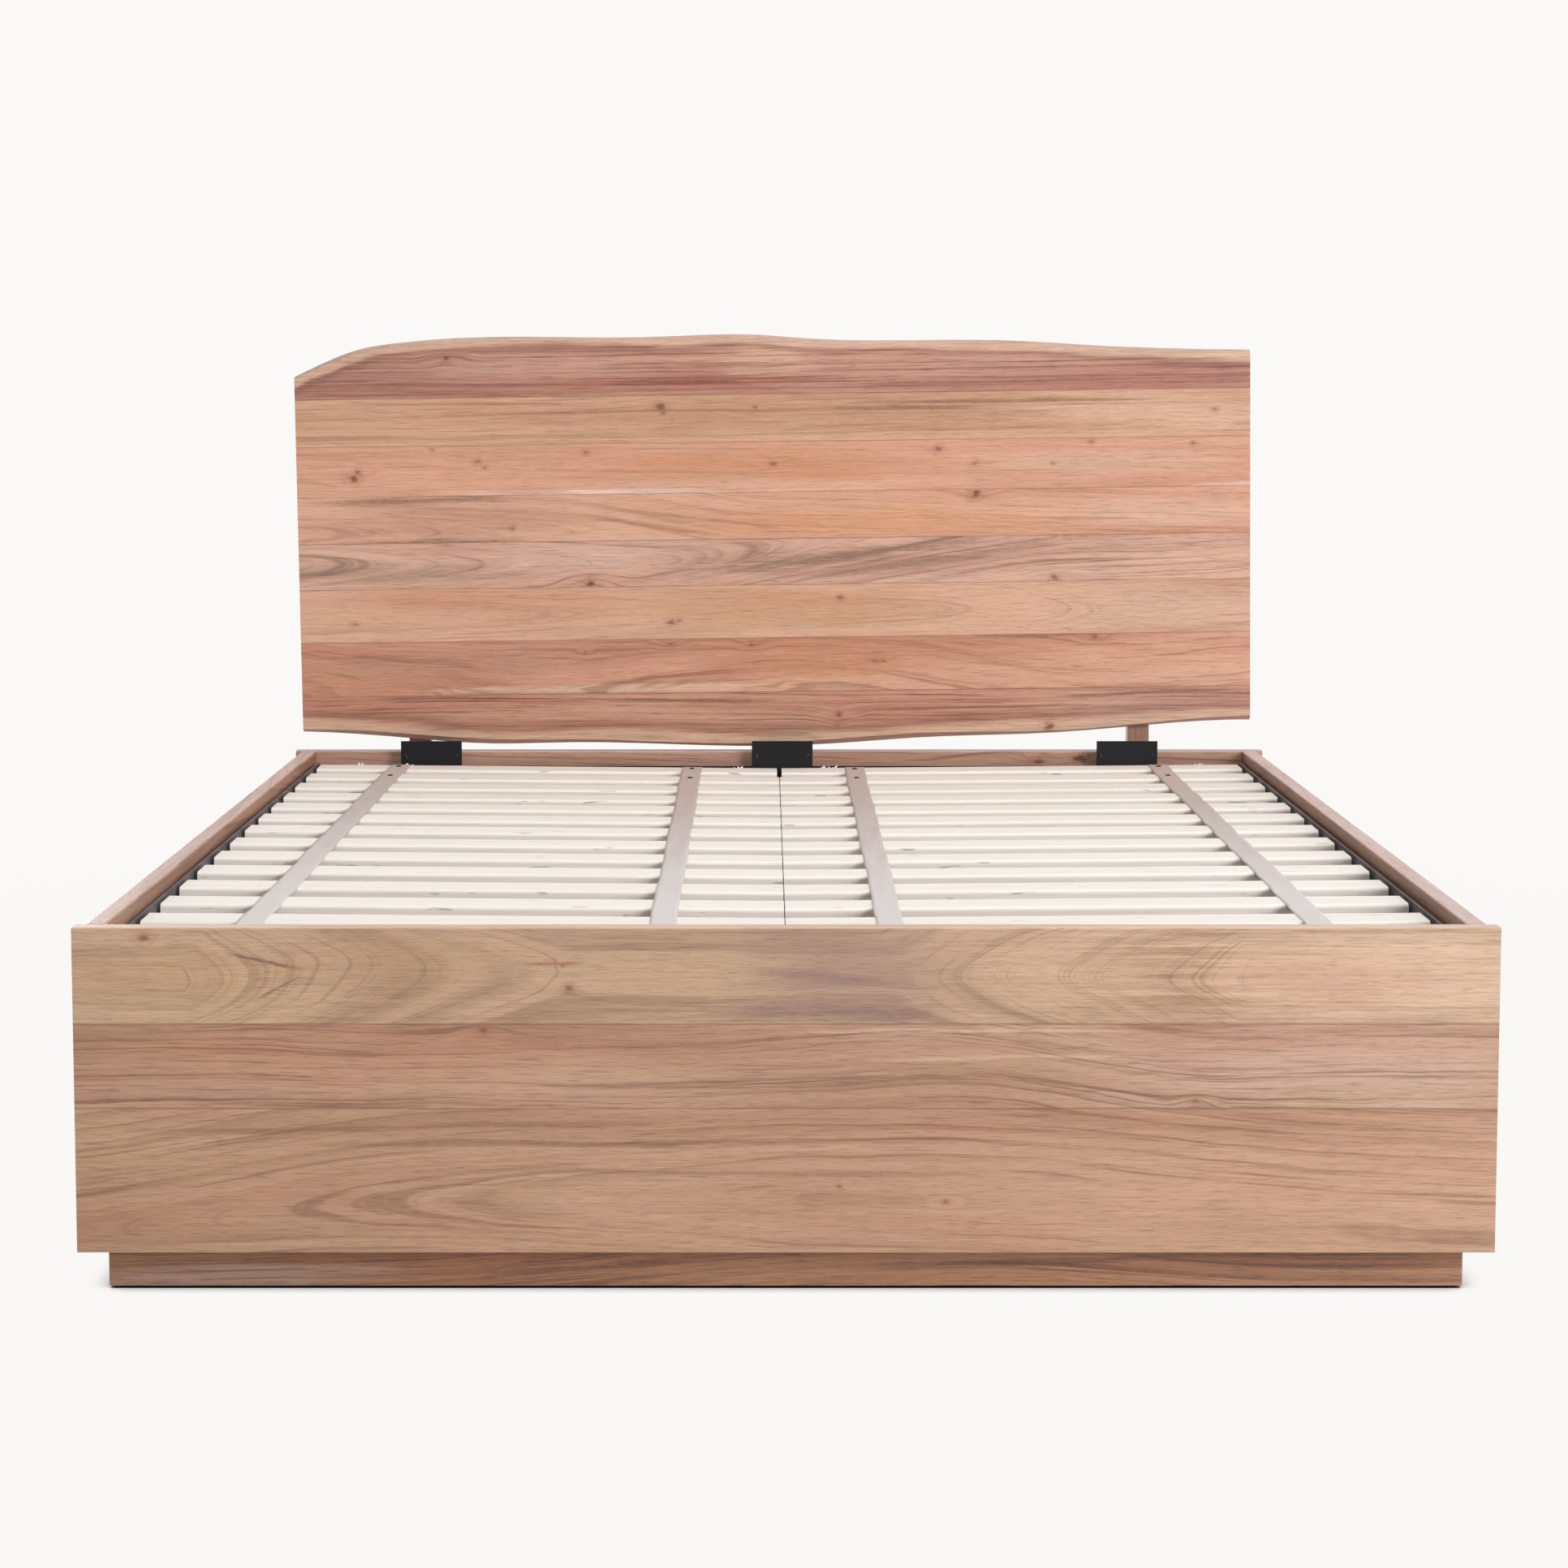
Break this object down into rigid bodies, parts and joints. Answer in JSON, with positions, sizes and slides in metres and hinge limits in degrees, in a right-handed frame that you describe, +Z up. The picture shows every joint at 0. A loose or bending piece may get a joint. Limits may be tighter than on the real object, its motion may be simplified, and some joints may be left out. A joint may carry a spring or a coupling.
{
  "type": "ottoman bed",
  "caption": "Solid wood storage bed frame with a live-edge headboard and a slatted base that lifts on a four-bar linkage with gas struts",
  "frame": {"origin": "on the floor, in the middle of the bed's outline", "axes": "+X to the right as seen from the foot, +Y from the foot to the head, +Z up"},
  "size_m": [1.6, 2.12, 1.1073],
  "materials": {
    "headboard_acacia": "oiled, warm reddish tan, strong figure",
    "footboard_acacia": "oiled, tan with dark figure",
    "rail_acacia": "oiled, reddish brown",
    "plinth_acacia": "oiled, dark reddish brown",
    "floor_plywood": "sanded",
    "inner_softwood": "planed",
    "slat_wood": "planed, pale cream",
    "webbing": "woven tape",
    "glide_plastic": "matt",
    "bright_steel": "zinc plated",
    "black_steel": "satin powder coat, near black"
  },
  "bodies": {
    "base": {"corner_blocks": "inner_softwood", "corner_bolts": "bright_steel", "floor_glides": "glide_plastic", "floor_joists": "inner_softwood", "footboard_plank_bottom": "footboard_acacia", "footboard_plank_middle": "footboard_acacia", "footboard_plank_top": "footboard_acacia", "head_rail": "rail_acacia", "headboard_bolts": "bright_steel", "headboard_plank_1": "headboard_acacia", "headboard_plank_2": "headboard_acacia", "headboard_plank_3": "headboard_acacia", "headboard_plank_4": "headboard_acacia", "headboard_plank_5": "headboard_acacia", "headboard_plank_6": "headboard_acacia", "headboard_plank_7": "headboard_acacia", "headboard_plank_8": "headboard_acacia", "left_headboard_post": "rail_acacia", "left_mount_plate": "black_steel", "left_side_rail": "rail_acacia", "lower_strut_studs": "bright_steel", "plate_pivot_pins": "bright_steel", "plinth_back": "plinth_acacia", "plinth_front": "plinth_acacia", "plinth_sides": "plinth_acacia", "right_headboard_post": "rail_acacia", "right_mount_plate": "black_steel", "right_side_rail": "rail_acacia", "storage_floor_foot": "floor_plywood", "storage_floor_head": "floor_plywood", "support_ledges": "inner_softwood"},
    "lift_frame": {"arm_pivot_pins": "bright_steel", "centre_bar": "black_steel", "cross_tubes": "black_steel", "foot_angle_bar": "black_steel", "head_angle_bar": "black_steel", "left_angle_bar": "black_steel", "left_inner_tape": "webbing", "left_lift_arm": "black_steel", "left_outer_tape": "webbing", "left_slats": "slat_wood", "mattress_stops": "black_steel", "right_angle_bar": "black_steel", "right_inner_tape": "webbing", "right_lift_arm": "black_steel", "right_outer_tape": "webbing", "right_slats": "slat_wood"},
    "left_rear_link": {"left_rear_link": "black_steel"},
    "left_front_link": {"left_front_link": "black_steel", "left_front_link_pins": "bright_steel"},
    "left_strut_barrel": {"left_strut_barrel": "black_steel"},
    "left_strut_rod": {"left_strut_rod": "bright_steel"},
    "right_rear_link": {"right_rear_link": "black_steel"},
    "right_front_link": {"right_front_link": "black_steel", "right_front_link_pins": "bright_steel"},
    "right_strut_barrel": {"right_strut_barrel": "black_steel"},
    "right_strut_rod": {"right_strut_rod": "bright_steel"}
  },
  "joints": [
    {"name": "lift_frame_tilt", "type": "hinge", "parent": "left_rear_link", "child": "lift_frame", "pos_m": [-0.7585, 0.824, 0.34], "axis": [-1, 0, 0], "range_deg": [0, 101.12]},
    {"name": "left_rear_link_turn", "type": "hinge", "parent": "base", "child": "left_rear_link", "pos_m": [-0.7585, 0.686, 0.349], "axis": [1, 0, 0], "range_deg": [0, 67.2]},
    {"name": "left_front_link_turn", "type": "hinge", "parent": "base", "child": "left_front_link", "pos_m": [-0.751, 0.378, 0.299], "axis": [1, 0, 0], "range_deg": [0, 41.1]},
    {"name": "left_strut_barrel_turn", "type": "hinge", "parent": "base", "child": "left_strut_barrel", "pos_m": [-0.737, 0.212, 0.118], "axis": [1, 0, 0], "range_deg": [0, 8.8]},
    {"name": "left_strut_rod_slide", "type": "slide", "parent": "left_strut_barrel", "child": "left_strut_rod", "axis": [0, 0.9052, 0.4249], "range_m": [0, 0.0572]},
    {"name": "right_rear_link_turn", "type": "hinge", "parent": "base", "child": "right_rear_link", "pos_m": [0.7585, 0.686, 0.349], "axis": [1, 0, 0], "range_deg": [0, 67.2]},
    {"name": "right_front_link_turn", "type": "hinge", "parent": "base", "child": "right_front_link", "pos_m": [0.751, 0.378, 0.299], "axis": [1, 0, 0], "range_deg": [0, 41.1]},
    {"name": "right_strut_barrel_turn", "type": "hinge", "parent": "base", "child": "right_strut_barrel", "pos_m": [0.737, 0.212, 0.118], "axis": [1, 0, 0], "range_deg": [0, 8.8]},
    {"name": "right_strut_rod_slide", "type": "slide", "parent": "right_strut_barrel", "child": "right_strut_rod", "axis": [0, 0.9052, 0.4249], "range_m": [0, 0.0572]}
  ],
  "couplings": [
    {"joint": "left_rear_link_turn", "follows": "lift_frame_tilt", "ratio": 0.66379},
    {"joint": "left_front_link_turn", "follows": "lift_frame_tilt", "ratio": 0.40558},
    {"joint": "left_strut_barrel_turn", "follows": "lift_frame_tilt", "ratio": 0.086673},
    {"joint": "left_strut_rod_slide", "follows": "lift_frame_tilt", "m_per_rad": 0.032288},
    {"joint": "right_rear_link_turn", "follows": "lift_frame_tilt", "ratio": 0.66379},
    {"joint": "right_front_link_turn", "follows": "lift_frame_tilt", "ratio": 0.40558},
    {"joint": "right_strut_barrel_turn", "follows": "lift_frame_tilt", "ratio": 0.086673},
    {"joint": "right_strut_rod_slide", "follows": "lift_frame_tilt", "m_per_rad": 0.032288}
  ]
}
